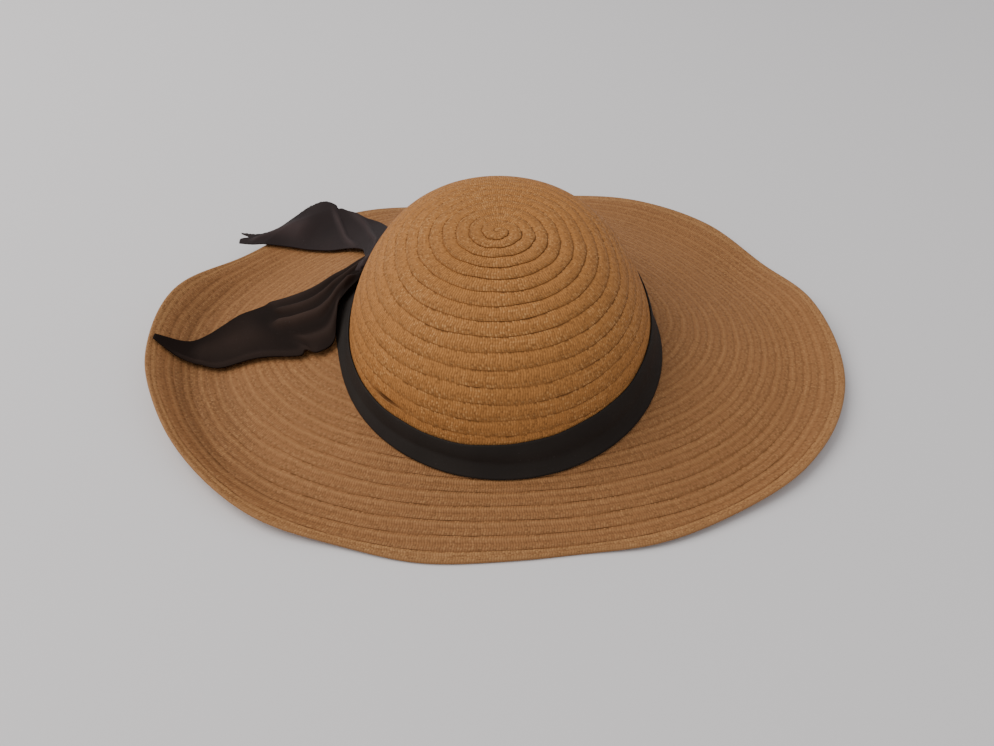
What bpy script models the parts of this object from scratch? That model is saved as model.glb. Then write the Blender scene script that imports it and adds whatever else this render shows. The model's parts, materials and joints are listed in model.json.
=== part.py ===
"""A wide-brimmed floppy straw hat with a ribbon tied round its crown, lying on a flat surface.

Metres, +Z up. The origin is on the surface, under the middle of the hat's bounding box. The hat
is seen from -Y, with the narrow stretch of brim in front and the knot at the back left.
"""

import math

import bpy
import numpy as np
from mathutils import Matrix

# Head line: the oval where the crown meets the brim, measured outside the straw
HEAD_WIDTH = 0.173
HEAD_LENGTH = 0.189
HEAD_CENTRE_X = 0.004
HEAD_CENTRE_Y = -0.0265
HEAD_LINE_HEIGHT = 0.0208
HEAD_TILT = math.radians(6.8)

# Crown: its top over the middle of the head line, and how square each side of the dome is
CROWN_HEIGHT = 0.0704
CROWN_TOP_SHIFT_X = -0.002
CROWN_TOP_SHIFT_Y = 0.003
FRONT_FULLNESS = 2.5
SIDE_FULLNESS = 2.3
BACK_FULLNESS = 4.1
FLARE = 0.0044
FLARE_HEIGHT = 0.012
PULL = 0.009
PULL_ANGLE = math.radians(160)
PULL_SPREAD = math.radians(14)

# Straw and brim
STRAW = 0.002
SEAM_GAP = 0.0005
BRIM_REACH = 0.125
BRIM_RISE = 0.020
BRIM_MIDDLE = 0.45
BRIM_VALLEY = 0.80

# Ribbon: the band, the knot and the two tails
RIBBON = 0.0012
RIBBON_GAP = 0.0005
BAND_HEIGHT = 0.018
BAND_SLANT = 0.005
BAND_LIFT = 0.0008
KNOT_ANGLE = math.radians(147)
KNOT_RISE = 0.0075
KNOT_LENGTH = 0.022
KNOT_HEIGHT = 0.016
KNOT_DEPTH = 0.009
KNOT_GAP = 0.0028
KNOT_FOLDS = 5
KNOT_FOLD_DEPTH = 0.10
FRONT_TAIL = 0.130
BACK_TAIL = 0.1165
TAIL_CLEARANCE = 0.0006
PLEAT = 0.0016

# Colours, as linear red, green and blue, and how rough each stuff is
CROWN_STRAW = (0.37, 0.17, 0.055)
BRIM_STRAW = (0.28, 0.14, 0.052)
DARK_CLOTH = (0.030, 0.022, 0.022)
STRAW_ROUGHNESS = 0.75
CLOTH_ROUGHNESS = 0.5

# Mesh steps, and the angle from which an edge is drawn sharp
SHARP_ANGLE = math.radians(50)
CROWN_STEPS_ROUND = 64
CROWN_STEPS_UP = 12
FLARE_STEPS = 4
BRIM_STEPS_ROUND = 96
BRIM_STEPS_OUT = 9
BAND_STEPS_UP = 6
TAIL_STEPS_ALONG = 22
TAIL_STEPS_ACROSS = 8
KNOT_STEPS_ROUND = 20
KNOT_STEPS_UP = 12

# The brim in sections 15 degrees apart, from +X round by the back. Each row has its reach past the
# head line as a share of BRIM_REACH, then the height of its underside at the middle, at the
# valley inside the edge and at the edge, as shares of BRIM_RISE.
BRIM_SECTIONS = np.array([
    # reach, middle, valley, edge
    (0.91, 0.45, 0.15, 0.33),
    (0.93, 0.50, 0.25, 0.53),
    (0.95, 0.45, 0.05, 0.18),
    (0.955, 0.60, 0.25, 0.45),
    (0.88, 0.80, 0.45, 0.63),
    (0.85, 0.90, 0.40, 0.33),
    (0.81, 0.90, 0.30, 0.05),
    (0.815, 0.85, 0.25, 0.00),
    (0.85, 0.70, 0.30, 0.30),
    (0.895, 0.55, 0.20, 0.40),
    (0.91, 0.45, 0.15, 0.53),
    (1.00, 0.40, 0.15, 0.90),
    (0.965, 0.35, 0.05, 0.73),
    (0.855, 0.30, 0.00, 0.60),
    (0.745, 0.25, 0.00, 0.45),
    (0.635, 0.22, 0.05, 0.28),
    (0.50, 0.20, 0.05, 0.08),
    (0.43, 0.22, 0.07, 0.00),
    (0.38, 0.25, 0.10, 0.00),
    (0.39, 0.22, 0.07, 0.00),
    (0.48, 0.20, 0.05, 0.08),
    (0.58, 0.20, 0.00, 0.15),
    (0.715, 0.25, 0.00, 0.25),
    (0.83, 0.35, 0.05, 0.33),
])

# Each tail in sections from the knot to its tip: the place of its near edge and of its far edge
# from the knot's middle, as shares of the tail's length, and how far each edge stands off the brim
# as a share of the knot's height.
FRONT_TAIL_SECTIONS = np.array([
    # near x, near y, near lift, far x, far y, far lift
    (-0.059, -0.157, 0.45, -0.079, 0.075, 0.17),
    (-0.091, -0.212, 0.36, -0.123, 0.063, 0.11),
    (-0.121, -0.273, 0.28, -0.190, 0.048, 0.06),
    (-0.122, -0.380, 0.20, -0.267, -0.007, 0.04),
    (-0.114, -0.495, 0.12, -0.360, -0.051, 0.03),
    (-0.161, -0.539, 0.07, -0.454, -0.082, 0.02),
    (-0.262, -0.537, 0.04, -0.545, -0.108, 0.01),
    (-0.428, -0.506, 0.03, -0.626, -0.132, 0.02),
    (-0.614, -0.519, 0.04, -0.693, -0.204, 0.04),
    (-0.739, -0.482, 0.05, -0.755, -0.281, 0.05),
    (-0.839, -0.459, 0.05, -0.820, -0.342, 0.05),
    (-0.940, -0.412, 0.04, -0.941, -0.382, 0.04),
])
BACK_TAIL_SECTIONS = np.array([
    # near x, near y, near lift, far x, far y, far lift
    (-0.030, 0.115, 0.34, 0.045, 0.130, 0.36),
    (-0.048, 0.191, 0.28, 0.055, 0.200, 0.30),
    (-0.087, 0.331, 0.18, 0.073, 0.473, 0.22),
    (-0.185, 0.418, 0.08, -0.015, 0.702, 0.18),
    (-0.281, 0.450, 0.04, -0.151, 0.817, 0.20),
    (-0.392, 0.493, 0.02, -0.273, 0.879, 0.26),
    (-0.510, 0.515, 0.01, -0.391, 0.937, 0.40),
    (-0.602, 0.511, 0.00, -0.485, 0.895, 0.30),
    (-0.674, 0.498, 0.00, -0.564, 0.790, 0.16),
    (-0.746, 0.484, 0.00, -0.642, 0.668, 0.08),
    (-0.787, 0.484, 0.00, -0.741, 0.598, 0.05),
    (-0.842, 0.492, 0.00, -0.857, 0.608, 0.04),
])


def through(knots, values, at):
    """A smooth curve through values at the knots: a cubic whose slopes come from the neighbours."""
    knots = np.asarray(knots, float)
    values = np.asarray(values, float)
    slopes = np.gradient(values, knots, axis=0)
    piece = np.clip(np.searchsorted(knots, at, side="right") - 1, 0, len(knots) - 2)
    width = knots[piece + 1] - knots[piece]
    t = (at - knots[piece]) / width
    if values.ndim == 1:
        start, end = values[piece], values[piece + 1]
        rise, fall = slopes[piece] * width, slopes[piece + 1] * width
    else:
        rows = np.arange(values.shape[1])
        start, end = values[piece, rows], values[piece + 1, rows]
        rise, fall = slopes[piece, rows] * width, slopes[piece + 1, rows] * width
    return (
        start * (2 * t**3 - 3 * t**2 + 1)
        + rise * (t**3 - 2 * t**2 + t)
        + end * (3 * t**2 - 2 * t**3)
        + fall * (t**3 - t**2)
    )


def section_value(column, angle):
    """A column of the brim's sections at any angle, carried smoothly round the hat."""
    values = BRIM_SECTIONS[:, column]
    count = len(values)
    place = (angle / math.tau * count) % count
    first = np.floor(place).astype(int)
    t = place - first
    before, start, end, after = (values[(first + k) % count] for k in (-1, 0, 1, 2))
    rise, fall = (end - before) / 2, (after - start) / 2
    return (
        start * (2 * t**3 - 3 * t**2 + 1)
        + rise * (t**3 - 2 * t**2 + t)
        + end * (3 * t**2 - 2 * t**3)
        + fall * (t**3 - t**2)
    )


def oval_radius(angle, grow=0.0):
    """The head line's distance from its middle, with both half-widths grown by one amount."""
    half_width = HEAD_WIDTH / 2 + grow
    half_length = HEAD_LENGTH / 2 + grow
    across, along = half_length * np.cos(angle), half_width * np.sin(angle)
    return half_width * half_length / np.hypot(across, along)


def head_line_height(turn):
    """The height of the tilted head line, lower in front."""
    return HEAD_LINE_HEIGHT + math.tan(HEAD_TILT) * HEAD_LENGTH / 2 * np.sin(turn)


def crown_rise(turn):
    """The height of the crown's top over the head line, all round."""
    return HEAD_LINE_HEIGHT + CROWN_HEIGHT - head_line_height(turn)


def flare_reach(turn):
    """How far the crown's foot flares, most where the knot pulls it out at the left."""
    pull = np.exp((np.cos(turn - PULL_ANGLE) - 1) / PULL_SPREAD**2)
    return FLARE + PULL * pull


def flare_lean(turn, height):
    """How fast the flare moves outward going down, at a height over the head line."""
    return 2 * flare_reach(turn) * np.clip(1 - height / FLARE_HEIGHT, 0, 1) / FLARE_HEIGHT


def crown_points(turn, up, outward=0.0):
    """Points on the crown's outer face: turn round the oval, and up from 0 at the head line to 1.

    Each meridian is a superellipse between the head line and the crown's top, with a flare at its
    foot, and outward moves the points away from the face.
    """
    sine, cosine = np.sin(turn), np.cos(turn)
    fullness = SIDE_FULLNESS + sine**2 * np.where(
        sine < 0, FRONT_FULLNESS - SIDE_FULLNESS, BACK_FULLNESS - SIDE_FULLNESS
    )
    spread = np.clip(1 - up**fullness, 0, 1) ** (1 / fullness)
    height = up * crown_rise(turn)
    low = np.clip(1 - height / FLARE_HEIGHT, 0, 1)
    flare = flare_reach(turn) * low**2 + outward * np.hypot(1, flare_lean(turn, height))
    x = HEAD_CENTRE_X + CROWN_TOP_SHIFT_X * up + (HEAD_WIDTH / 2 * spread + flare) * cosine
    y = HEAD_CENTRE_Y + CROWN_TOP_SHIFT_Y * up + (HEAD_LENGTH / 2 * spread + flare) * sine
    return np.stack([x, y, head_line_height(turn) + height], -1)


def brim_underside(x, y):
    """The height of the brim's underside: a curve through four heights from the crown to the edge."""
    from_middle_x, from_middle_y = x - HEAD_CENTRE_X, y - HEAD_CENTRE_Y
    angle = np.arctan2(from_middle_y, from_middle_x)
    turn = np.arctan2(from_middle_y * HEAD_WIDTH, from_middle_x * HEAD_LENGTH)
    inner = oval_radius(angle, flare_reach(turn))
    outer = oval_radius(angle) + BRIM_REACH * section_value(0, angle)
    out = np.clip((np.hypot(from_middle_x, from_middle_y) - inner) / (outer - inner), 0, 1)
    heights = np.stack([
        head_line_height(turn) - STRAW,
        BRIM_RISE * section_value(1, angle),
        BRIM_RISE * section_value(2, angle),
        BRIM_RISE * section_value(3, angle),
    ])
    flat = heights.reshape(4, -1)
    height = through([0, BRIM_MIDDLE, BRIM_VALLEY, 1], flat, out.reshape(-1)).reshape(out.shape)
    return np.maximum(height, 0)


def principled(name, colour, roughness):
    material = bpy.data.materials.new(name)
    material.use_nodes = True
    shader = material.node_tree.nodes["Principled BSDF"]
    shader.inputs["Base Color"].default_value = (*colour, 1)
    shader.inputs["Roughness"].default_value = roughness
    return material


def grid_faces(rows, columns, closed):
    """Quads between the points of a grid whose rows may close round."""
    last = columns if closed else columns - 1
    row, column = np.meshgrid(np.arange(rows - 1), np.arange(last), indexing="ij")
    start, beside = row * columns + column, row * columns + (column + 1) % columns
    return np.stack([start, beside, beside + columns, start + columns], -1).reshape(-1, 4)


def add_piece(name, points, faces, material, wall=None):
    """A piece from its points and faces, and a wall laid under its surface if one is given."""
    mesh = bpy.data.meshes.new(name)
    mesh.from_pydata(points.reshape(-1, 3).tolist(), [], [list(map(int, face)) for face in faces])
    mesh.update()
    mesh.materials.append(material)
    mesh.shade_smooth()
    mesh.set_sharp_from_angle(angle=SHARP_ANGLE)
    piece = bpy.data.objects.new(name, mesh)
    parts.objects.link(piece)
    if wall:
        solidify = piece.modifiers.new("wall", "SOLIDIFY")
        solidify.thickness = wall
        solidify.offset = -1
        solidify.use_even_offset = True


def make_crown():
    """The dome: a grid of meridians, closed at the top by a fan of triangles."""
    turn = np.arange(CROWN_STEPS_ROUND) * math.tau / CROWN_STEPS_ROUND
    flare_top = FLARE_HEIGHT / crown_rise(turn)
    in_flare = np.linspace(0, 1, FLARE_STEPS + 1)[:-1, None] * flare_top
    lift = np.linspace(0, 1, CROWN_STEPS_UP + 1)[:-1, None]
    over_flare = flare_top + (1 - flare_top) * np.sin(lift * math.pi / 2)
    up = np.concatenate([in_flare, over_flare])
    points = crown_points(turn[None, :], up).reshape(-1, 3)
    top = crown_points(np.zeros(1), np.ones(1))
    faces = grid_faces(len(up), CROWN_STEPS_ROUND, closed=True).tolist()
    last = (len(up) - 1) * CROWN_STEPS_ROUND
    for step in range(CROWN_STEPS_ROUND):
        faces.append([last + step, last + (step + 1) % CROWN_STEPS_ROUND, len(points)])
    straw = principled("crown_straw", CROWN_STRAW, STRAW_ROUGHNESS)
    add_piece("crown", np.concatenate([points, top]), faces, straw, STRAW)


def make_brim():
    """The brim: a ring from the foot of the crown out to its wavy edge."""
    turn = np.arange(BRIM_STEPS_ROUND) * math.tau / BRIM_STEPS_ROUND
    out = np.linspace(0, 1, BRIM_STEPS_OUT + 1)[:, None]
    foot = crown_points(turn, np.zeros(BRIM_STEPS_ROUND)) - (HEAD_CENTRE_X, HEAD_CENTRE_Y, 0)
    angle = np.arctan2(foot[:, 1], foot[:, 0])
    inner = np.hypot(foot[:, 0], foot[:, 1]) + SEAM_GAP
    outer = oval_radius(angle) + BRIM_REACH * section_value(0, angle)
    radius = inner + out * (outer - inner)
    x = HEAD_CENTRE_X + radius * np.cos(angle)
    y = HEAD_CENTRE_Y + radius * np.sin(angle)
    under = np.stack([x, y, brim_underside(x, y)], -1)
    faces = grid_faces(BRIM_STEPS_OUT + 1, BRIM_STEPS_ROUND, closed=True)
    straw = principled("brim_straw", BRIM_STRAW, STRAW_ROUGHNESS)
    add_piece("brim", under, faces, straw, STRAW)


def make_band():
    """The ribbon round the foot of the crown: a closed strip that follows the crown's face."""
    turn = np.arange(CROWN_STEPS_ROUND) * math.tau / CROWN_STEPS_ROUND
    up = np.linspace(0, 1, BAND_STEPS_UP + 1)[:, None]
    height = BAND_LIFT + up * (BAND_HEIGHT + BAND_SLANT * np.cos(turn))
    outer = crown_points(turn[None, :], height / crown_rise(turn), RIBBON_GAP + RIBBON)
    faces = grid_faces(BAND_STEPS_UP + 1, CROWN_STEPS_ROUND, closed=True)
    cloth = principled("band_ribbon", DARK_CLOTH, CLOTH_ROUGHNESS)
    add_piece("band", outer, faces, cloth, RIBBON)


def knot_middle():
    """The middle of the knot, which lies against the band."""
    out = RIBBON_GAP + RIBBON + KNOT_GAP + KNOT_DEPTH / 2
    up = KNOT_RISE / crown_rise(KNOT_ANGLE)
    return crown_points(np.array([KNOT_ANGLE]), np.array([up]), out)[0]


def make_knot():
    """The knot: a flattened ball of ribbon with folds round it, lying back against the band."""
    bpy.ops.mesh.primitive_uv_sphere_add(segments=KNOT_STEPS_ROUND, ring_count=KNOT_STEPS_UP, radius=1)
    piece = bpy.context.active_object
    piece.name = "knot"
    piece.data.name = "knot"
    points = np.empty(len(piece.data.vertices) * 3)
    piece.data.vertices.foreach_get("co", points)
    points = points.reshape(-1, 3)
    swell = 1 - KNOT_FOLD_DEPTH * (1 - np.cos(KNOT_FOLDS * points[:, 2:] * math.pi)) / 2
    swell = np.where(points[:, :1] > 0, swell, 1)
    points = points * swell * np.array([KNOT_DEPTH, KNOT_LENGTH, KNOT_HEIGHT]) / 2
    lean = math.atan(flare_lean(KNOT_ANGLE, KNOT_RISE))
    turning = Matrix.Rotation(KNOT_ANGLE, 3, "Z") @ Matrix.Rotation(-lean, 3, "Y")
    placed = points @ np.array(turning).T + knot_middle()
    piece.data.vertices.foreach_set("co", placed.reshape(-1))
    piece.data.update()
    piece.data.materials.append(principled("knot_ribbon", DARK_CLOTH, CLOTH_ROUGHNESS))
    piece.data.shade_smooth()
    for collection in list(piece.users_collection):
        collection.objects.unlink(piece)
    parts.objects.link(piece)


def make_tail(name, sections, length, pleats):
    """A ribbon end that lies over the brim between two edges, pleated where it leaves the knot."""
    along = np.linspace(0, len(sections) - 1, TAIL_STEPS_ALONG + 1)
    table = [through(np.arange(len(sections)), column, along) for column in sections.T]
    near_x, near_y, near_lift, far_x, far_y, far_lift = (column[:, None] for column in table)
    across = np.linspace(0, 1, TAIL_STEPS_ACROSS + 1)[None, :]
    middle = knot_middle()
    x = middle[0] + length * (near_x + (far_x - near_x) * across)
    y = middle[1] + length * (near_y + (far_y - near_y) * across)
    lift = KNOT_HEIGHT * (near_lift + (far_lift - near_lift) * across)
    fade = 1 - along[:, None] / along[-1]
    ripple = PLEAT * fade * (1 - np.cos(math.tau * pleats * across)) / 2
    under = brim_underside(x, y) + STRAW + TAIL_CLEARANCE + lift + ripple
    top = np.stack([x, y, under + RIBBON], -1)
    faces = grid_faces(TAIL_STEPS_ALONG + 1, TAIL_STEPS_ACROSS + 1, closed=False)
    cloth = principled(name + "_ribbon", DARK_CLOTH, CLOTH_ROUGHNESS)
    add_piece(name, top, faces, cloth, RIBBON)


def main():
    make_crown()
    make_brim()
    make_band()
    make_knot()
    make_tail("tail_front", FRONT_TAIL_SECTIONS, FRONT_TAIL, pleats=3)
    make_tail("tail_back", BACK_TAIL_SECTIONS, BACK_TAIL, pleats=1)


for old in list(bpy.data.objects):
    bpy.data.objects.remove(old)
parts = bpy.data.collections.new("straw_hat")
bpy.context.scene.collection.children.link(parts)
main()
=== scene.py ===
# %% [markdown]
# # A floppy straw hat with a ribbon
# The real hat is sewn from one long flat braid of plaited straw. The braid starts as a small
# button at the tip of the crown, winds round and round with each turn lapped over the next, and a
# second length of it makes the brim. A dark ribbon goes round the crown, is tied at the back left,
# and its two loose ends lie over the brim.
#
# This lesson dresses six solids that are already in place. They are loaded as a fixed frame, and
# every piece made here takes the place of one of them.

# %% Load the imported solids
import json
import math

import bpy
import numpy as np
from mathutils import Matrix, Vector

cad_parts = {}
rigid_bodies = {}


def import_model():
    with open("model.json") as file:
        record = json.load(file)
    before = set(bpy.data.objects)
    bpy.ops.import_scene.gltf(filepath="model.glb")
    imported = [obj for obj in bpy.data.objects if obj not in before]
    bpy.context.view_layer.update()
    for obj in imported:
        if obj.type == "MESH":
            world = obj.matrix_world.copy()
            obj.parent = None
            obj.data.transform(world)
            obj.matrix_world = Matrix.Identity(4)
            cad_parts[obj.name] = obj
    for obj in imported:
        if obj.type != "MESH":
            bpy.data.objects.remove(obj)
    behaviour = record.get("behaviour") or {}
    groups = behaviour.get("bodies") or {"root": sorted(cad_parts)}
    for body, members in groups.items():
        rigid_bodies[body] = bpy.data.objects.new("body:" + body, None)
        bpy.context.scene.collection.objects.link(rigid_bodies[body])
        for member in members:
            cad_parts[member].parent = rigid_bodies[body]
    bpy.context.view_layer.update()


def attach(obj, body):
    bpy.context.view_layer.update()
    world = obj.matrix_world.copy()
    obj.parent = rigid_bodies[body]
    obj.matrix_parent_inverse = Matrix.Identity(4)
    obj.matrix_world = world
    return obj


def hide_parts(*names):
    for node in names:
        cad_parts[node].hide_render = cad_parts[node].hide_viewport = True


for old in list(bpy.data.objects):
    bpy.data.objects.remove(old)
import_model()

# %% [markdown]
# ## The camera
# The photograph looks down on the hat from the front, from a little above arm's length. A camera
# is placed: first its height and distance, until the oval brim has the right
# flatness, then its tilt and lens, until the size agrees. The numbers below were fitted on points
# of the outline, because one good camera saves many wrong guesses about shape.

# %% Place the camera
CAMERA_PLACE = (0.0014, -0.4073, 0.32)
CAMERA_TILT = math.radians(49.5)
CAMERA_LENS = 30.17
CAMERA_SENSOR = 36

camera_data = bpy.data.cameras.new("camera")
camera_data.lens = CAMERA_LENS
camera_data.sensor_width = CAMERA_SENSOR
camera = bpy.data.objects.new("camera", camera_data)
camera.location = CAMERA_PLACE
camera.rotation_euler = (CAMERA_TILT, 0, 0)
bpy.context.scene.collection.objects.link(camera)
bpy.context.scene.camera = camera
print("camera looks down", round(90 - math.degrees(CAMERA_TILT), 1), "degrees")

# %% [markdown]
# ## The shape of the head line
# A hat is an oval, longer from front to back, where it sits on the head. That oval is the head
# line, and crown and brim both start from it. Here it is an ellipse that tilts forward, and it
# bulges at the left where the knot pulls the straw outward. The sizes are the same as those of
# the solids, because each piece has to lie where its solid is.

# %% Head line functions
HEAD_WIDTH = 0.173
HEAD_LENGTH = 0.189
HEAD_MIDDLE = np.array([0.004, -0.0265])
HEAD_LINE_HEIGHT = 0.0208
HEAD_TILT = math.radians(6.8)
FLARE = 0.0044
FLARE_HEIGHT = 0.012
PULL = 0.009
PULL_ANGLE = math.radians(160)
PULL_SPREAD = math.radians(14)
STRAW = 0.002


def head_line_height(turn):
    """The height of the tilted head line: the middle's, plus a rise by the sine of the turn."""
    return HEAD_LINE_HEIGHT + math.tan(HEAD_TILT) * HEAD_LENGTH / 2 * np.sin(turn)


def flare_reach(turn):
    """How far the foot of the crown flares: the same all round, plus a bell curve at the knot."""
    return FLARE + PULL * np.exp((np.cos(turn - PULL_ANGLE) - 1) / PULL_SPREAD**2)


def oval_radius(angle, grow=0.0):
    """An ellipse's radius at an angle: product of the half axes over the length of their mix."""
    half_width, half_length = HEAD_WIDTH / 2 + grow, HEAD_LENGTH / 2 + grow
    mix = np.hypot(half_length * np.cos(angle), half_width * np.sin(angle))
    return half_width * half_length / mix


print("head opening", round(math.pi * (HEAD_WIDTH + HEAD_LENGTH) / 2 * 100, 1), "cm round")

# %% [markdown]
# ## The crown's form
# A crown is blocked: the damp straw is pulled over a wooden form. Its side view is neither a half
# circle nor a box but something between, which a superellipse gives with one number, its fullness.
# A low number is round and a high one is square, and here it changes from the front to the back.
# The foot curls outward into the brim in a small quadratic flare.

# %% Crown surface function
CROWN_HEIGHT = 0.0704
CROWN_TOP_SHIFT = np.array([-0.002, 0.003])
FRONT_FULLNESS = 2.5
SIDE_FULLNESS = 2.3
BACK_FULLNESS = 4.1


def crown_rise(turn):
    """The height of the tip over the tilted head line."""
    return HEAD_LINE_HEIGHT + CROWN_HEIGHT - head_line_height(turn)


def crown_fullness(turn):
    """The superellipse's power: the side's, moved towards the front's or back's by sine squared."""
    sine = np.sin(turn)
    end = np.where(sine < 0, FRONT_FULLNESS, BACK_FULLNESS)
    return SIDE_FULLNESS + sine**2 * (end - SIDE_FULLNESS)


def flare_lean(turn, height):
    """How fast the flare moves outward going down: the slope of the flare's parabola."""
    return 2 * flare_reach(turn) * np.clip(1 - height / FLARE_HEIGHT, 0, 1) / FLARE_HEIGHT


def crown_points(turn, up, outward=0.0):
    """Points of the crown's face at a turn round the oval and a share up its height.

    The spread is (1 - up^n)^(1/n), the flare adds its reach times the square of how low the point
    is, and outward moves the point away from the face.
    """
    fullness = crown_fullness(turn)
    spread = np.clip(1 - up**fullness, 0, 1) ** (1 / fullness)
    height = up * crown_rise(turn)
    low = np.clip(1 - height / FLARE_HEIGHT, 0, 1)
    flare = flare_reach(turn) * low**2 + outward * np.hypot(1, flare_lean(turn, height))
    x = HEAD_MIDDLE[0] + CROWN_TOP_SHIFT[0] * up + (HEAD_WIDTH / 2 * spread + flare) * np.cos(turn)
    y = HEAD_MIDDLE[1] + CROWN_TOP_SHIFT[1] * up + (HEAD_LENGTH / 2 * spread + flare) * np.sin(turn)
    return np.stack([x, y, head_line_height(turn) + height], -1)


print("tip of the crown at", np.round(crown_points(np.zeros(1), np.ones(1))[0], 4))

# %% [markdown]
# ## The brim's form
# The brim is floppy, so it rises and dips all round its edge. A designer would note it down as
# cross-sections, one every 15 degrees, and that is what the table holds: how far the brim reaches,
# and the heights of its underside at the middle, in the valley before the edge, and at the edge.
# Smooth curves through the table make the sheet. Heights are never below the table top.

# %% Curves through tables of sections
BRIM_REACH = 0.125
BRIM_RISE = 0.020
BRIM_KNOTS = [0, 0.45, 0.80, 1]
BRIM_SECTIONS = np.array([
    # reach, middle, valley, edge
    (0.91, 0.45, 0.15, 0.33),
    (0.93, 0.50, 0.25, 0.53),
    (0.95, 0.45, 0.05, 0.18),
    (0.955, 0.60, 0.25, 0.45),
    (0.88, 0.80, 0.45, 0.63),
    (0.85, 0.90, 0.40, 0.33),
    (0.81, 0.90, 0.30, 0.05),
    (0.815, 0.85, 0.25, 0.00),
    (0.85, 0.70, 0.30, 0.30),
    (0.895, 0.55, 0.20, 0.40),
    (0.91, 0.45, 0.15, 0.53),
    (1.00, 0.40, 0.15, 0.90),
    (0.965, 0.35, 0.05, 0.73),
    (0.855, 0.30, 0.00, 0.60),
    (0.745, 0.25, 0.00, 0.45),
    (0.635, 0.22, 0.05, 0.28),
    (0.50, 0.20, 0.05, 0.08),
    (0.43, 0.22, 0.07, 0.00),
    (0.38, 0.25, 0.10, 0.00),
    (0.39, 0.22, 0.07, 0.00),
    (0.48, 0.20, 0.05, 0.08),
    (0.58, 0.20, 0.00, 0.15),
    (0.715, 0.25, 0.00, 0.25),
    (0.83, 0.35, 0.05, 0.33),
])


def hermite(t, start, end, rise, fall):
    """A cubic from start to end as t goes from 0 to 1, with the given slopes at its two ends."""
    start_weight = 2 * t**3 - 3 * t**2 + 1
    end_weight = 3 * t**2 - 2 * t**3
    return (
        start * start_weight
        + rise * (t**3 - 2 * t**2 + t)
        + end * end_weight
        + fall * (t**3 - t**2)
    )


def through(knots, values, at):
    """A smooth curve through values at knots, whose slopes come from the neighbouring values."""
    knots, values = np.asarray(knots, float), np.asarray(values, float)
    slopes = np.gradient(values, knots, axis=0)
    piece = np.clip(np.searchsorted(knots, at, side="right") - 1, 0, len(knots) - 2)
    width = knots[piece + 1] - knots[piece]
    t = (at - knots[piece]) / width
    pick = () if values.ndim == 1 else (np.arange(values.shape[1]),)
    here, there = (piece, *pick), (piece + 1, *pick)
    return hermite(t, values[here], values[there], slopes[here] * width, slopes[there] * width)


def section_value(column, angle):
    """A column of the brim's table at any angle, carried smoothly all round the hat."""
    values = BRIM_SECTIONS[:, column]
    count = len(values)
    place = (angle / math.tau * count) % count
    first = np.floor(place).astype(int)
    before, start, end, after = (values[(first + k) % count] for k in (-1, 0, 1, 2))
    return hermite(place - first, start, end, (end - before) / 2, (after - start) / 2)


def brim_edge_radius(angle):
    """How far the brim's edge is from the middle of the head line."""
    return oval_radius(angle) + BRIM_REACH * section_value(0, angle)


def foot_radius(x, y):
    """The radius of the crown's foot in the direction of a point."""
    turn = np.arctan2((y - HEAD_MIDDLE[1]) * HEAD_WIDTH, (x - HEAD_MIDDLE[0]) * HEAD_LENGTH)
    return oval_radius(np.arctan2(y - HEAD_MIDDLE[1], x - HEAD_MIDDLE[0]), flare_reach(turn))


def brim_underside(x, y):
    """The height of the brim's underside: a curve through four heights, from foot to edge."""
    across, along = x - HEAD_MIDDLE[0], y - HEAD_MIDDLE[1]
    angle = np.arctan2(along, across)
    turn = np.arctan2(along * HEAD_WIDTH, across * HEAD_LENGTH)
    inner = foot_radius(x, y)
    out = np.clip((np.hypot(across, along) - inner) / (brim_edge_radius(angle) - inner), 0, 1)
    heights = np.stack([
        head_line_height(turn) - STRAW,
        BRIM_RISE * section_value(1, angle),
        BRIM_RISE * section_value(2, angle),
        BRIM_RISE * section_value(3, angle),
    ])
    curve = through(BRIM_KNOTS, heights.reshape(4, -1), out.reshape(-1))
    return np.maximum(curve.reshape(out.shape), 0)


around = np.linspace(0, math.tau, 361)
print("brim reaches", np.round(brim_edge_radius(around).min() * 1000), "to",
      np.round(brim_edge_radius(around).max() * 1000), "mm from the middle")

# %% [markdown]
# ## From numbers to a mesh
# Every piece below is worked out as whole arrays: a grid of points, and which points make a
# triangle. A grid often has corners that fall together, as at the tip of a dome, so triangles that
# use a point twice are left out, and so are points that nothing uses. Each corner of a triangle
# has its own place on the flat braid, its UV, because two rows that meet at a seam share points
# but not places. Each point also carries one number, its mark, which the materials read: how far
# a seam gapes on the crown, how hollow the brim is, and how high a fold stands on the ribbon.

# %% Mesh helpers
SHARP_ANGLE = math.radians(38)


def cells(grid):
    """The four corners of each cell of a grid, in order round the cell."""
    return np.stack([grid[:-1, :-1], grid[1:, :-1], grid[1:, 1:], grid[:-1, 1:]], 2)


def close_ring(grid):
    """A grid with its first column once more after its last one."""
    return np.concatenate([grid, grid[:, :1]], axis=1)


def split_quads(corners, places):
    """Two triangles for each quad, without those that use a point twice.

    Where the grid closes up, two triangles can lie back to back on the same three points. Such a
    pair shuts off nothing, so both are left out too.
    """
    triangles = np.concatenate([corners[:, [0, 1, 2]], corners[:, [0, 2, 3]]])
    uv = np.concatenate([places[:, [0, 1, 2]], places[:, [0, 2, 3]]])
    a, b, c = triangles.T
    whole = (a != b) & (b != c) & (a != c)
    triangles, uv = triangles[whole], uv[whole]
    _, same, count = np.unique(
        np.sort(triangles, axis=1), axis=0, return_inverse=True, return_counts=True
    )
    alone = count[same.ravel()] == 1
    return triangles[alone], uv[alone]


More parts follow.
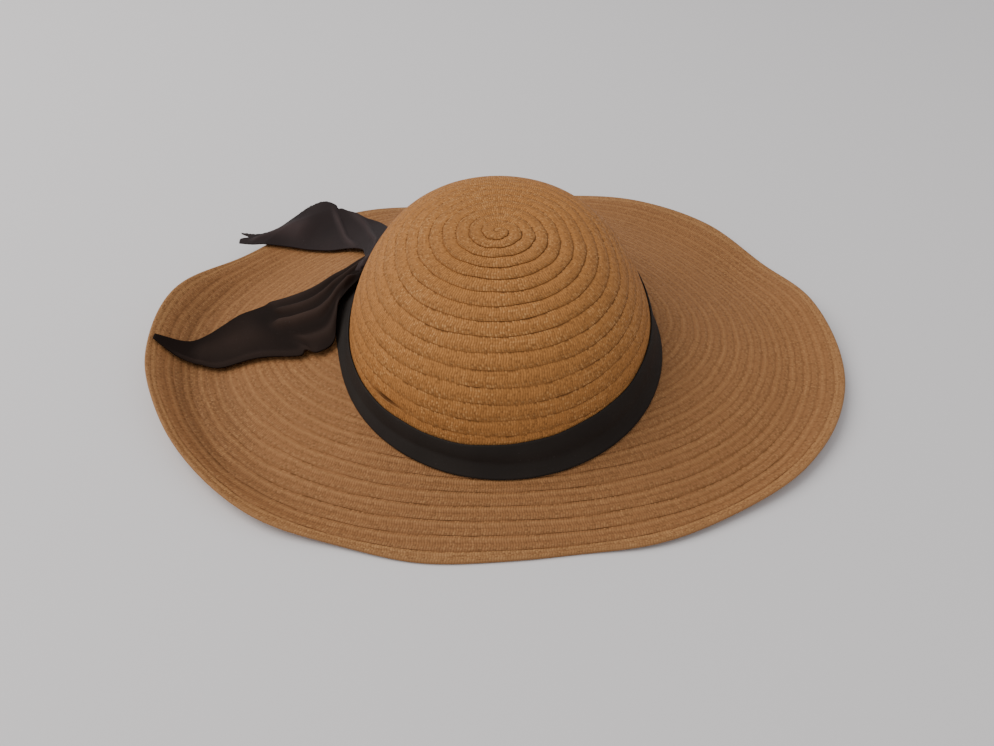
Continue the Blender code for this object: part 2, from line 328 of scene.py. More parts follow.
def make_mesh(name, points, corners, places, uv_name, mark):
    """A new object from points, the corners of its quads, their UV places and each point's mark."""
    triangles, uv = split_quads(corners.reshape(-1, 4), places.reshape(-1, 4, 2))
    used, triangles = np.unique(triangles, return_inverse=True)
    triangles = triangles.reshape(-1, 3)
    mesh = bpy.data.meshes.new(name)
    mesh.from_pydata(points.reshape(-1, 3)[used].tolist(), [], triangles.tolist())
    mesh.uv_layers.new(name=uv_name).data.foreach_set("uv", uv.astype(np.float32).ravel())
    marks = mesh.attributes.new("mark", "FLOAT", "POINT")
    marks.data.foreach_set("value", mark.ravel()[used].astype(np.float32))
    mesh.shade_smooth()
    mesh.set_sharp_from_angle(angle=SHARP_ANGLE)
    mesh.update()
    made = bpy.data.objects.new(name, mesh)
    bpy.context.scene.collection.objects.link(made)
    print(name, len(triangles), "triangles")
    return made


def run_length(points, axis):
    """The distance run along one axis of a grid of points, from 0 at its start."""
    steps = np.linalg.norm(np.diff(points, axis=axis), axis=-1)
    start = np.zeros_like(np.take(steps, [0], axis=axis))
    return np.concatenate([start, np.cumsum(steps, axis=axis)], axis=axis)


def bump_at(value, middle, width):
    """A smooth bump, exp(-(distance / width)^2)."""
    return np.exp(-(((value - middle) / width) ** 2))


# %% [markdown]
# ## Sewing the crown
# The braid is wound from the tip, so the crown isn't a stack of rings but one helix. The strip is
# worked out as such: it winds clockwise, seen from above, and a point of it is known by how many
# turns it is along and how far it is across the braid. Turns plus share across is how many rows
# it lies from the tip. Each row's lower edge lies over the upper edge of the next row, which is
# the thin shadow line that shows all over the hat. The strip's height profile makes that step.
#
# To lay the strip on the dome, a table of meridians is made first, with the distance run down each
# one, and then every point looks up its place at its share of the way down.

# %% Meridians of the crown
CROWN_COLUMNS = 480
MERIDIAN_STEPS = 300


def crown_meridians():
    """Points, outward normals and shares of the way down, on lines from the tip to the foot.

    The upper half of each line has even steps of its spread r, with up = (1 - r^n)^(1/n), and the
    lower half even steps of height, so that both the flat tip and the steep wall are fine.
    """
    turn = (-math.pi / 2 - np.arange(CROWN_COLUMNS) * math.tau / CROWN_COLUMNS)[:, None]
    fullness = crown_fullness(turn)
    shoulder = 0.5 ** (1 / fullness)
    spread = np.linspace(0, 1, MERIDIAN_STEPS) * shoulder
    lower = np.linspace(1, 0, MERIDIAN_STEPS)[1:] * shoulder
    up = np.concatenate([(1 - spread**fullness) ** (1 / fullness), lower], axis=1)
    points = crown_points(turn, up)
    sideways = np.roll(points, -1, axis=0) - np.roll(points, 1, axis=0)
    normals = np.cross(sideways, np.gradient(points, axis=1))
    size = np.linalg.norm(normals, axis=-1, keepdims=True)
    normals = np.where(size > 1e-14, normals / np.maximum(size, 1e-14), (0.0, 0.0, 1.0))
    run = run_length(points, axis=1)
    return points, normals, run / run[:, -1:]


MERIDIANS = crown_meridians()


def on_crown(column, share):
    """The point and normal at a share of the way down a column's meridian.

    Each column's shares are moved to their own stretch of numbers, so that one sorted search
    finds all the steps at once, and the point lies between two steps of the table.
    """
    points, normals, shares = MERIDIANS
    steps = shares.shape[1]
    keys = (shares + 2 * np.arange(len(shares))[:, None]).ravel()
    wanted = np.clip(share, 0, 1) + 2 * column
    place = np.searchsorted(keys, wanted) - 1
    place = np.clip(place, column * steps, column * steps + steps - 2)
    t = ((wanted - keys[place]) / np.maximum(keys[place + 1] - keys[place], 1e-12))[..., None]
    flat_points, flat_normals = points.reshape(-1, 3), normals.reshape(-1, 3)
    point = flat_points[place] * (1 - t) + flat_points[place + 1] * t
    return point, flat_normals[place] * (1 - t) + flat_normals[place + 1] * t


print("front meridian", round(run_length(MERIDIANS[0][:1], 1).max() * 1000, 1), "mm")

# %% [markdown]
# The strip is a grid: a step along the braid for each column, and seven samples across it, whose
# lifts off the dome give the braid its rounded back and the step at its edge. The lower rows are
# flatter. A sewer's hand strays a little, and over the band at the front left the sewing has come
# loose, so one row gapes: one edge of the open seam stands off and the other dips.

# %% The crown's braid as one helix
CROWN_ROWS = 18
ROW_GROWTH = 1.0207
ROW_SAMPLES = np.array([0, 0.07, 0.22, 0.50, 0.78, 0.93, 1.0])
ROW_LIFTS = np.array([-0.68, -0.60, -0.10, 0.05, 0.14, 0.02, -0.24]) / 1000
ROW_PRESSED = 0.82
PRESSED_FROM, PRESSED_TO = 3, 14
HAND_WAVES = ((0.035, 3, 0.9, 0), (0.025, 7, -1.7, 1), (0.018, 13, 2.9, 2))
OPEN_SEAM_TURN, OPEN_SEAM_SPREAD = math.radians(226), math.radians(6)
OPEN_SEAM_ROW, OPEN_SEAM_ROWS = 15, 0.35
OPEN_SEAM_LIFTS = np.array([0.8, 0.8, 0, 0, 0, -1, -1]) * 0.0012
UV_MARGIN = 0.02


def braid_place(run, row, across):
    """A UV: metres run along the braid, and row plus share across, kept clear of whole numbers."""
    across = UV_MARGIN + (1 - 2 * UV_MARGIN) * across
    return np.stack(np.broadcast_arrays(run, row + across), -1)


def hand_wobble(turn, rows):
    """How a hand strays: slow sine waves round the crown that drift from row to row."""
    return sum(
        depth * np.sin(waves * turn + drift * rows + start)
        for depth, waves, drift, start in HAND_WAVES
    )


def seam_opening(turn, rows):
    """Where a row gapes: a bump round the crown, times a bump across one seam."""
    away = (turn - OPEN_SEAM_TURN + math.pi) % math.tau - math.pi
    return bump_at(away, 0, OPEN_SEAM_SPREAD) * bump_at(rows, OPEN_SEAM_ROW, OPEN_SEAM_ROWS)


def crown_outside():
    """The helix: rows = turns + across - 1, and the share down is (rows / all rows)^growth."""
    step = np.arange((CROWN_ROWS + 1) * CROWN_COLUMNS + 1)[:, None]
    column = step % CROWN_COLUMNS
    turn = -math.pi / 2 - step * math.tau / CROWN_COLUMNS
    rows = step / CROWN_COLUMNS + ROW_SAMPLES - 1
    inside = np.clip(rows, 0, CROWN_ROWS)
    taper = np.clip(inside, 0, 1) * np.clip(CROWN_ROWS - inside, 0, 1)
    share = ((inside + hand_wobble(turn, inside) * taper) / CROWN_ROWS) ** ROW_GROWTH
    point, normal = on_crown(np.broadcast_to(column, share.shape), share)
    low = np.clip((inside - PRESSED_FROM) / (PRESSED_TO - PRESSED_FROM), 0, 1)
    ends = np.clip(inside * 1.5, 0, 1) * np.clip((CROWN_ROWS - inside) * 3, 0, 1)
    opening = seam_opening(turn, inside)
    lift = ROW_LIFTS * (1 - ROW_PRESSED * low) * ends + opening * OPEN_SEAM_LIFTS
    point = point + normal * lift[..., None]
    index = 1 + CROWN_COLUMNS + np.arange(rows.size).reshape(rows.shape)
    index = np.where(rows >= CROWN_ROWS, 1 + column, np.where(rows <= 0, 0, index))
    run = run_length(point[:, [len(ROW_SAMPLES) // 2]], axis=0)
    return point, index, braid_place(run, 0, ROW_SAMPLES), opening


print("loose seam over", round(math.degrees(2 * OPEN_SEAM_SPREAD)), "degrees of row", OPEN_SEAM_ROW)

# %% [markdown]
# The crown needs an inside too, since it is a wall and people look into hats. There the braid's
# steps hardly show, so plain rings with a faint ripple do. A rim of quads joins the last ring to
# the foot outside, and small quads close the step between each row's lower edge and the next row.

# %% The crown's wall, closed
INNER_SAMPLES = 2
INNER_RIPPLE = 0.00012


def crown_inside():
    """Rings inside the wall, at the rows' shares of the way down, and their UV places."""
    rings = CROWN_ROWS * INNER_SAMPLES
    ring = np.arange(1, rings + 1)[:, None]
    shape = (rings, CROWN_COLUMNS)
    share = np.broadcast_to((ring / rings) ** ROW_GROWTH, shape)
    point, normal = on_crown(np.broadcast_to(np.arange(CROWN_COLUMNS), shape), share)
    ripple = INNER_RIPPLE * np.where(ring % INNER_SAMPLES == 0, 1, -1)[..., None]
    length = math.pi * (HEAD_WIDTH + HEAD_LENGTH) / 2 * np.sqrt(np.arange(rings + 1) / rings)
    run = length[:, None] * np.arange(CROWN_COLUMNS + 1) / CROWN_COLUMNS
    row, part = np.divmod(np.arange(rings)[:, None], INNER_SAMPLES)
    first = braid_place(run[:-1], row, part / INNER_SAMPLES)
    last = braid_place(run[1:], row, (part + 1) / INNER_SAMPLES)
    places = np.stack([first[:, :-1], last[:, :-1], last[:, 1:], first[:, 1:]], 2)
    return point - normal * (STRAW + ripple), places


def make_crown():
    """The helix outside, the rings inside, and a rim that joins them at the foot."""
    point, index, place, opening = crown_outside()
    columns = np.arange(CROWN_COLUMNS)
    tip = on_crown(np.zeros(1, int), np.zeros(1))[0]
    foot = on_crown(columns, np.ones(len(columns)))[0]
    lip, tucked = index[:-CROWN_COLUMNS, -1], index[CROWN_COLUMNS:, 0]
    step = np.stack([lip[:-1], lip[1:], tucked[1:], tucked[:-1]], -1)
    lip_uv = place[:-CROWN_COLUMNS, -1]
    step_uv = np.stack([lip_uv[:-1], lip_uv[1:], lip_uv[1:], lip_uv[:-1]], -2)

    inner, inner_uv = crown_inside()
    outside = 1 + CROWN_COLUMNS + point.size // 3
    inner_tip = outside + inner.size // 3
    grid = np.arange(outside, inner_tip).reshape(inner.shape[:2])
    rings = close_ring(np.vstack([np.full((1, CROWN_COLUMNS), inner_tip), grid]))
    outer_foot = 1 + columns
    rim = np.stack([outer_foot, np.roll(outer_foot, -1), rings[-1, 1:], rings[-1, :-1]], -1)
    rim_uv = np.broadcast_to(inner_uv[-1, :, 1:2], (CROWN_COLUMNS, 4, 2))

    points = np.concatenate([
        tip, foot, point.reshape(-1, 3), inner.reshape(-1, 3), tip - (0, 0, STRAW),
    ])
    corners = [cells(index), step, cells(rings), rim]
    places = [cells(place), step_uv, inner_uv, rim_uv]
    gape = np.zeros(len(points))
    gape[1 + CROWN_COLUMNS:][:opening.size] = opening.ravel()
    return make_mesh(
        "straw_crown", points,
        np.concatenate([part.reshape(-1, 4) for part in corners]),
        np.concatenate([part.reshape(-1, 4, 2) for part in places]),
        "rows", gape,
    )


crown = make_crown()
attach(crown, "root")
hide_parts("crown")

# %% [markdown]
# ## Sewing the brim
# The brim's rows keep parallel to its outer edge, where sewing ends with a narrow hem, and the
# inner rows run out one by one where the brim is narrow, in front. So the brim is worked out from
# its edge inward: a column of points starts at the edge and walks towards the head at right angles
# to a plain ellipse, which keeps the columns from crossing. Each column stops where it meets the
# foot of the crown. The cross-section is one closed loop, over the top, down the inner edge, back
# underneath and round the rim, so the whole brim is a single closed grid.

# %% Columns of the brim
BRIM_COLUMNS = 600
BRIM_GUIDE = (0.205, 0.170)
BRIM_START = math.radians(95)
BRIM_WAVES = 30
FREE_WAVES = 2
WAVE_DEPTH = 0.060
SEAM_GAP = 0.0005
HEM = 0.005
BRIM_ROW = 0.0082
BRIM_ROWS = 16


def brim_columns():
    """Each column's place on the edge and its direction inward, at right angles to the guide."""
    angle = BRIM_START + np.arange(BRIM_COLUMNS) * math.tau / BRIM_COLUMNS
    guide = np.stack([BRIM_GUIDE[0] * np.cos(angle), BRIM_GUIDE[1] * np.sin(angle)], -1)
    inward = -np.stack([BRIM_GUIDE[1] * np.cos(angle), BRIM_GUIDE[0] * np.sin(angle)], -1)
    inward /= np.linalg.norm(inward, axis=-1, keepdims=True)
    seen = np.arctan2(guide[:, 1] - HEAD_MIDDLE[1], guide[:, 0] - HEAD_MIDDLE[0])
    direction = np.stack([np.cos(seen), np.sin(seen)], -1)
    return HEAD_MIDDLE + brim_edge_radius(seen)[:, None] * direction, inward


BRIM_EDGE, BRIM_INWARD = brim_columns()


def edge_waves():
    """The edge as a sum of turning arrows, one for each whole number of waves round the hat.

    A point of the edge is a complex number x + iy, and its Fourier transform gives the arrows.
    """
    whole = np.fft.fft(BRIM_EDGE[:, 0] + 1j * BRIM_EDGE[:, 1]) / BRIM_COLUMNS
    waves = np.arange(-BRIM_WAVES, BRIM_WAVES + 1)
    spin = np.exp(2j * math.pi * np.arange(BRIM_COLUMNS)[:, None] * waves / BRIM_COLUMNS)
    return spin * whole[waves], np.clip(np.abs(waves) - FREE_WAVES, 0, None)


EDGE_ARROWS, EDGE_FADES = edge_waves()


def brim_place(depth):
    """The plan position at a depth in from the edge, for every column.

    The edge's own waves fade on the way in, short ones first, so that the inner rows are smooth.
    """
    fade = np.exp(-depth[..., None] * EDGE_FADES / WAVE_DEPTH)
    edge = (EDGE_ARROWS * fade).sum(-1)
    return np.stack([edge.real, edge.imag], -1) + depth[..., None] * BRIM_INWARD


def brim_depths():
    """How deep each column runs before it meets the crown, found by halving the range."""
    low = np.zeros(BRIM_COLUMNS)
    high = brim_edge_radius(np.arctan2(*(BRIM_EDGE - HEAD_MIDDLE).T[::-1])) - 0.06
    for _ in range(40):
        middle = (low + high) / 2
        x, y = brim_place(middle).T
        reached = np.hypot(x - HEAD_MIDDLE[0], y - HEAD_MIDDLE[1]) < foot_radius(x, y) + SEAM_GAP
        low, high = np.where(reached, low, middle), np.where(reached, middle, high)
    return low


BRIM_DEPTHS = brim_depths()
print("brim is", np.round([BRIM_DEPTHS.min() * 1000, BRIM_DEPTHS.max() * 1000]), "mm wide")

# %% [markdown]
# Each row of the brim has nine samples on top and three below, each a share across the row and a
# lift off the straw. Behind the front the rows are pressed flatter. A point that would lie beyond
# the foot of the crown moves to the inner edge. Where the brim is hollow along a line from the
# head, most of all at the left, its mark says so, and its colour is painted darker there, as shade.

# %% The brim as one closed grid
TOP_SAMPLES = np.array([1.0, 0.92, 0.77, 0.62, 0.49, 0.34, 0.20, 0.07, 0.0])
TOP_LIFTS = np.array([-0.14, 0.08, 0.14, -0.04, -0.24, -0.05, 0.02, -0.34, -0.42]) / 1000
UNDER_SAMPLES = np.array([0.0, 0.5, 1.0])
UNDER_LIFTS = np.array([0.0, 0.10, 0.35]) / 1000
RIM_ANGLES = np.radians([-55, 0, 55])
RIM_ROUND = 0.0007
RIM_FULLNESS = 0.9
SLOPE_STEP = 0.0008
BRIM_STRAY, BRIM_STRAY_WAVES = 0.0002, 23
BRIM_PRESSED = 0.45
BRIM_FRONT_END = -0.13
BRIM_FRONT_FADE = 0.07
BEND_STEP = 0.012
BEND_DEEPEST = 0.0022
BEND_WORST, BEND_SPREAD = math.radians(200), math.radians(32)
BEND_ELSEWHERE = 0.15


def brim_rise(x, y):
    """The length of the surface's normal for a height of one: root of 1 + slope squared."""
    slope_x = brim_underside(x + SLOPE_STEP, y) - brim_underside(x - SLOPE_STEP, y)
    slope_y = brim_underside(x, y + SLOPE_STEP) - brim_underside(x, y - SLOPE_STEP)
    return np.sqrt(1 + (slope_x**2 + slope_y**2) / (2 * SLOPE_STEP) ** 2)


def brim_face(samples, lifts, thick, order):
    """One face of the brim: depth from row and share across, height from the underside.

    The order is 1 if the points go from the edge to the head, and -1 if they go the other way.
    Once a column has met the crown, all its points further in are stopped too.
    """
    row = np.repeat(np.arange(BRIM_ROWS), len(samples))[::order]
    across, lift = np.tile(samples, BRIM_ROWS), np.tile(lifts, BRIM_ROWS)
    start = np.where(row == 0, 0, HEM + (row - 1) * BRIM_ROW)
    width = np.where(row == 0, HEM, BRIM_ROW)
    depth = (start + width * (1 - across))[:, None] + np.zeros(BRIM_COLUMNS)
    turn = np.arange(BRIM_COLUMNS) * math.tau / BRIM_COLUMNS
    stray = BRIM_STRAY * np.sin(BRIM_STRAY_WAVES * turn + 2.3 * row[:, None])
    depth = depth + stray * (depth > 0)
    stopped = np.maximum.accumulate((depth >= BRIM_DEPTHS)[::order], axis=0)[::order]
    x, y = np.moveaxis(brim_place(np.where(stopped, BRIM_DEPTHS, depth)), -1, 0)
    pressed = 1 - BRIM_PRESSED * np.clip((y - BRIM_FRONT_END) / BRIM_FRONT_FADE, 0, 1)
    lift = np.where(stopped, 0, lift[:, None] * pressed)
    height = brim_underside(x, y) + (thick + lift) * brim_rise(x, y)
    shown = np.clip((BRIM_DEPTHS - start[:, None]) / width[:, None], 0, 1)
    shown = np.where(stopped, 1 - shown, across[:, None])
    return np.stack([x, y, height], -1), stopped, row, shown


def bend_of(x, y):
    """How hollow the brim is along a line from the head: the heights beside a point, less its."""
    away = np.stack([x - HEAD_MIDDLE[0], y - HEAD_MIDDLE[1]])
    away = BEND_STEP * away / np.hypot(*away)
    both = brim_underside(x + away[0], y + away[1]) + brim_underside(x - away[0], y - away[1])
    worst = bump_at(np.arctan2(y, x) % math.tau, BEND_WORST, BEND_SPREAD)
    bend = np.clip((both / 2 - brim_underside(x, y)) / BEND_DEEPEST, 0, 1)
    return bend * (BEND_ELSEWHERE + (1 - BEND_ELSEWHERE) * worst)


def brim_uv(row, across):
    """The places of each cell's corners. A cell between two rows takes its place in one row."""
    middle = HEM / 2 + np.arange(BRIM_ROWS) * BRIM_ROW
    flat = brim_place(middle[:, None] + np.zeros(BRIM_COLUMNS))
    run = run_length(close_ring(flat), axis=1)[row]
    place = braid_place(run, row[:, None], close_ring(across))
    next_row = np.roll(row, -1)
    same_row = (row == next_row)[:, None, None]
    turned = braid_place(np.roll(run, -1, axis=0), next_row[:, None], 1.0)
    below = np.where(same_row, np.roll(place, -1, axis=0), turned)
    here = np.where(same_row, place, below)
    return np.stack([here[:, :-1], here[:, 1:], below[:, 1:], below[:, :-1]], 2)


def make_brim():
    """Top, underside and rim joined in one loop, with stopped points moved to the inner edge."""
    top, top_stopped, top_row, top_across = brim_face(TOP_SAMPLES, TOP_LIFTS, STRAW, 1)
    under, under_stopped, under_row, under_across = brim_face(UNDER_SAMPLES, UNDER_LIFTS, 0, -1)
    rim_out = -RIM_ROUND * np.cos(RIM_ANGLES)[:, None] + np.zeros(BRIM_COLUMNS)
    x, y = np.moveaxis(brim_place(rim_out), -1, 0)
    bulge = STRAW / 2 * (1 + RIM_FULLNESS * np.sin(RIM_ANGLES)[:, None])
    rim = np.stack([x, y, brim_underside(x, y) + bulge], -1)
    points = np.concatenate([top, under, rim])

    index = np.arange(points.size // 3).reshape(points.shape[:2])
    upper, lower = index[:len(top)], index[len(top):][:len(under)]
    upper[:] = np.where(top_stopped, upper[-1], upper)
    lower[:] = np.where(under_stopped, lower[0], lower)
    wrapped = close_ring(index)
    below = np.roll(wrapped, -1, axis=0)
    corners = np.stack([wrapped[:, :-1], wrapped[:, 1:], below[:, 1:], below[:, :-1]], 2)

    row = np.concatenate([top_row, under_row, np.zeros(len(rim), int)])
    across = np.concatenate([top_across, under_across, np.ones(rim.shape[:2])])
    hollow = bend_of(points[..., 0], points[..., 1])
    print("hollow of the brim", np.round(np.percentile(hollow, [50, 90, 99]), 2))
    return make_mesh("straw_brim", points, corners, brim_uv(row, across), "rows", hollow)


brim = make_brim()
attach(brim, "root")
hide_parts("brim")

# %% [markdown]
# ## The band
# The ribbon round the crown is a strip of soft dark cloth, folded along its length. It follows the
# crown's face a hair's breadth out, and it is a little taller at the right than at the left. A
# tied ribbon never lies quite smooth: long shallow folds run along it, so its height over the
# straw is a few slow waves. A Solidify modifier gives the cloth its thickness.

# %% Cloth helpers and the band
RIBBON = 0.0012
RIBBON_GAP = 0.0005
CLOTH = 0.0007
SMOOTH_MARK = 0.4
BAND_HEIGHT = 0.018
BAND_SLANT = 0.005
BAND_LIFT = 0.0008
BAND_COLUMNS = 420
BAND_SAMPLES = 22
BAND_RAGGED = 0.0004
BAND_PULLED = 0.004
PULLED_TURN, PULLED_SPREAD = math.radians(176), math.radians(17)
BAND_FOLD = 0.001
CREASE_PLACE, CREASE_WIDTH = 0.40, 0.10


def cloth_grid(name, points, closed, mark=SMOOTH_MARK):
    """A sheet of cloth from a grid of points, its UV in metres along and across the ribbon."""
    along = run_length(points, axis=0)[:, [points.shape[1] // 2]]
    place = np.stack(np.broadcast_arrays(along, run_length(points, axis=1)), -1)
    index = np.arange(points.size // 3).reshape(points.shape[:2])
    if closed:
        index[-1] = index[0]
    mark = np.broadcast_to(mark, points.shape[:2])
    made = make_mesh(name, points, cells(index), cells(place), "cloth", mark)
    wall = made.modifiers.new("cloth", "SOLIDIFY")
    wall.thickness = CLOTH
    wall.offset = -1
    wall.use_even_offset = True
    return made


def make_band():
    """A closed strip on the crown's face, its folds as waves of how far it stands out."""
    turn = (np.arange(BAND_COLUMNS + 1) % BAND_COLUMNS)[:, None] * math.tau / BAND_COLUMNS
    across = np.linspace(0, 1, BAND_SAMPLES)[None, :]
    ragged = np.sin(5 * turn + 1) + 0.6 * np.sin(11 * turn) + 0.3 * np.sin(23 * turn + 2)
    top = BAND_HEIGHT + BAND_SLANT * np.cos(turn) + BAND_RAGGED * ragged
    top = top + BAND_PULLED * bump_at(turn, PULLED_TURN, PULLED_SPREAD)
    height = BAND_LIFT + across * top
    fold = 0.35 * (1 + np.sin(2 * turn + 7 * across))
    fold = (fold + 0.25 * (1 + np.sin(9 * turn + 3 * across + 1))) * np.sin(math.pi * across)
    crease = bump_at(across + 0.05 * np.sin(4 * turn), CREASE_PLACE, CREASE_WIDTH)
    crease = 0.55 * crease * (1 + np.cos(turn + 1.9))
    outward = (RIBBON_GAP + RIBBON) * (1 - 0.4 * across**4)
    outward = outward + BAND_FOLD * (0.45 * fold - 0.3 * crease)
    points = crown_points(turn, height / crown_rise(turn), outward)
    return cloth_grid("ribbon_band", points, closed=True)


band = make_band()
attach(band, "root")
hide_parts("band")

# %% [markdown]
# ## The knot
# A plain overhand knot in a wide ribbon is a short flat roll: the ribbon comes out of the band,
# goes over itself once and is pulled tight, so its folds run round the roll. The knot is a
# flattened ball whose radius is pressed in along each fold.

# %% Make the knot
KNOT_ANGLE = math.radians(147)
KNOT_RISE = 0.0075
KNOT_SIZE = np.array([0.009, 0.022, 0.016])
KNOT_GAP = 0.0028
KNOT_STEPS_ROUND = 96
KNOT_STEPS_UP = 64
KNOT_FOLDS = 5
KNOT_FOLD_DEPTH = 0.10
KNOT_TWIST = 0.22
KNOT_RIBBON = 0.05


def knot_middle():
    """The middle of the knot, which lies against the band."""
    out = RIBBON_GAP + RIBBON + KNOT_GAP + KNOT_SIZE[0] / 2
    up = KNOT_RISE / crown_rise(KNOT_ANGLE)
    return crown_points(np.array([KNOT_ANGLE]), np.array([up]), out)[0]


def make_knot():
    """A ball on two angles, flattened, with a cosine fold in its radius, leaned on the crown."""
    steps = np.arange(KNOT_STEPS_ROUND + 1)[:, None]
    turn = steps % KNOT_STEPS_ROUND * math.tau / KNOT_STEPS_ROUND
    up = np.linspace(-math.pi / 2, math.pi / 2, KNOT_STEPS_UP + 1)[None, :]
    ball = np.stack(np.broadcast_arrays(
        np.cos(up) * np.cos(turn), np.cos(up) * np.sin(turn), np.sin(up)
    ), -1)
    twist = ball[..., 2:] + KNOT_TWIST * ball[..., 1:2] ** 2
    swell = 1 - KNOT_FOLD_DEPTH * (1 - np.cos(KNOT_FOLDS * twist * math.pi)) / 2
    swell = swell - 0.05 * bump_at(ball[..., 1:2], 0.25, 0.18)
    lean = math.atan(flare_lean(KNOT_ANGLE, KNOT_RISE))
    turning = Matrix.Rotation(KNOT_ANGLE, 3, "Z") @ Matrix.Rotation(-lean, 3, "Y")
    points = ball * np.where(ball[..., :1] > -0.3, swell, 1) * KNOT_SIZE / 2 @ np.array(turning).T
    index = np.arange(points.size // 3).reshape(points.shape[:2])
    index[-1] = index[0]
    index[:, 0], index[:, -1] = index[0, 0], index[0, -1]
    place = np.stack(np.broadcast_arrays(
        up * KNOT_SIZE[2] / 2, KNOT_RIBBON * steps / KNOT_STEPS_ROUND
    ), -1)
    mark = np.full(points.shape[:2], SMOOTH_MARK)
    return make_mesh(
        "ribbon_knot", points + knot_middle(), cells(index), cells(place), "cloth", mark
    )


knot = make_knot()
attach(knot, "root")
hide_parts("knot")

# %% [markdown]
# ## The ribbon's two ends
# Each end leaves the knot gathered into pleats and opens out over the brim. A sheet between two
# edges describes it well: the table gives both edges in sections from the knot to the tip, and how
# far each stands off the straw. The pleats are waves across the ribbon that fade towards the tip.
# A cloth simulation could drape it too, but the folds of this hat are known, and a worked-out
# sheet puts them in the right places every time.

# %% The edges of the two ends
TAIL_CLEARANCE = 0.0006
PLEAT = 0.0016
FRONT_TAIL = 0.130
BACK_TAIL = 0.1165
TAIL_STEPS_ALONG = 170
TAIL_STEPS_ACROSS = 90
FRONT_TAIL_SECTIONS = np.array([
    # near x, near y, near lift, far x, far y, far lift
    (0.000, -0.095, 0.50, -0.020, 0.045, 0.40),
    (-0.038, -0.157, 0.47, -0.060, 0.075, 0.24),
    (-0.078, -0.212, 0.38, -0.123, 0.063, 0.11),
    (-0.102, -0.273, 0.30, -0.190, 0.048, 0.06),
    (-0.103, -0.380, 0.21, -0.267, -0.007, 0.04),
    (-0.101, -0.495, 0.12, -0.360, -0.051, 0.03),
    (-0.161, -0.539, 0.07, -0.454, -0.082, 0.02),
    (-0.215, -0.530, 0.06, -0.500, -0.095, 0.01),
    (-0.262, -0.537, 0.04, -0.545, -0.108, 0.01),
    (-0.428, -0.506, 0.03, -0.626, -0.132, 0.02),
    (-0.614, -0.519, 0.04, -0.693, -0.204, 0.04),
    (-0.739, -0.482, 0.05, -0.755, -0.281, 0.05),
    (-0.839, -0.459, 0.05, -0.820, -0.342, 0.05),
    (-0.940, -0.412, 0.04, -0.941, -0.382, 0.04),
])
BACK_TAIL_SECTIONS = np.array([
    # near x, near y, near lift, far x, far y, far lift
    (0.000, 0.040, 0.42, 0.062, 0.075, 0.42),
    (-0.030, 0.115, 0.34, 0.045, 0.130, 0.36),
    (-0.048, 0.191, 0.28, 0.055, 0.200, 0.30),
    (-0.087, 0.331, 0.18, 0.073, 0.473, 0.22),
    (-0.185, 0.418, 0.08, -0.015, 0.702, 0.18),
    (-0.281, 0.450, 0.04, -0.151, 0.817, 0.20),
    (-0.392, 0.493, 0.02, -0.273, 0.879, 0.26),
    (-0.510, 0.515, 0.01, -0.391, 0.937, 0.40),
    (-0.602, 0.511, 0.00, -0.485, 0.895, 0.30),
    (-0.674, 0.498, 0.00, -0.564, 0.790, 0.16),
    (-0.746, 0.484, 0.00, -0.642, 0.668, 0.08),
    (-0.787, 0.484, 0.00, -0.741, 0.598, 0.05),
    (-0.842, 0.492, 0.00, -0.857, 0.608, 0.04),
])


# %% [markdown]
# Low creases run from the knot over each end. Each is a ridge that wanders across the ribbon, given
# by a few points along its line, its width and its height. Two short functions trim the sheets:
# the front end has a nick where a crease runs out, the back end a split tip and a frayed edge.

# %% Creases and cut edges
FRONT_RIDGES = [
    # share along, share across, for each point of a ridge, then its width and height
    ([0.00, 0.18, 0.32, 0.42, 0.56], [0.88, 0.86, 0.88, 0.92, 0.97], 0.07, 0.0024),
    ([0.00, 0.18, 0.32, 0.42, 0.54], [0.58, 0.56, 0.64, 0.73, 0.82], 0.06, 0.0032),
    ([0.06, 0.18, 0.32, 0.42, 0.54, 0.64], [0.20, 0.22, 0.36, 0.50, 0.55, 0.56], 0.07, 0.0040),
    ([0.18, 0.30, 0.42, 0.56], [0.00, 0.04, 0.16, 0.26], 0.08, 0.0026),
    ([0.48, 0.54, 0.60], [-0.02, 0.10, 0.22], 0.09, 0.0012),
    ([0.40, 0.60, 0.80, 0.96], [0.04, 0.05, 0.06, 0.10], 0.06, 0.0012),
    ([0.62, 0.74, 0.90], [0.50, 0.45, 0.45], 0.30, 0.0016),
]
BACK_RIDGES = [
    ([0.27, 0.38, 0.49, 0.56], [0.00, 0.25, 0.72, 1.00], 0.06, 0.0018),
    ([0.17, 0.31, 0.41, 0.50], [0.40, 0.55, 0.90, 1.05], 0.07, 0.0014),
    ([0.54, 0.69, 0.83, 0.95], [0.30, 0.40, 0.45, 0.40], 0.22, 0.0020),
]
RIDGE_STARTS = 0.08
RIDGE_TALLEST = 0.0040
FRONT_NICK, FRONT_NICK_PLACE, FRONT_NICK_WIDTH = 0.03, 0.545, 0.030
BACK_NICK, BACK_NICK_PLACE, BACK_NICK_WIDTH = 0.05, 0.520, 0.008
BACK_SPLIT, BACK_SPLIT_PLACE, BACK_SPLIT_WIDTH = 0.045, 0.66, 0.17
BACK_FRAY, BACK_FRAY_START = 0.055, 0.56


def fold_height(ridges, share, across):
    """The height of all ridges: each a bell curve across, about a line that wanders along."""
    total = np.zeros(np.broadcast_shapes(share.shape, across.shape))
    for along, middle, width, top in ridges:
        inside = np.clip(share, along[0], along[-1])
        line = through(along, middle, inside.ravel()).reshape(inside.shape)
        starts = np.clip((share - along[0]) / RIDGE_STARTS + (along[0] == 0), 0, 1)
        fade = starts * np.clip((along[-1] - share) / RIDGE_STARTS, 0, 1)
        total = total + top * fade**2 * (3 - 2 * fade) * bump_at(across, line, width)
    return total


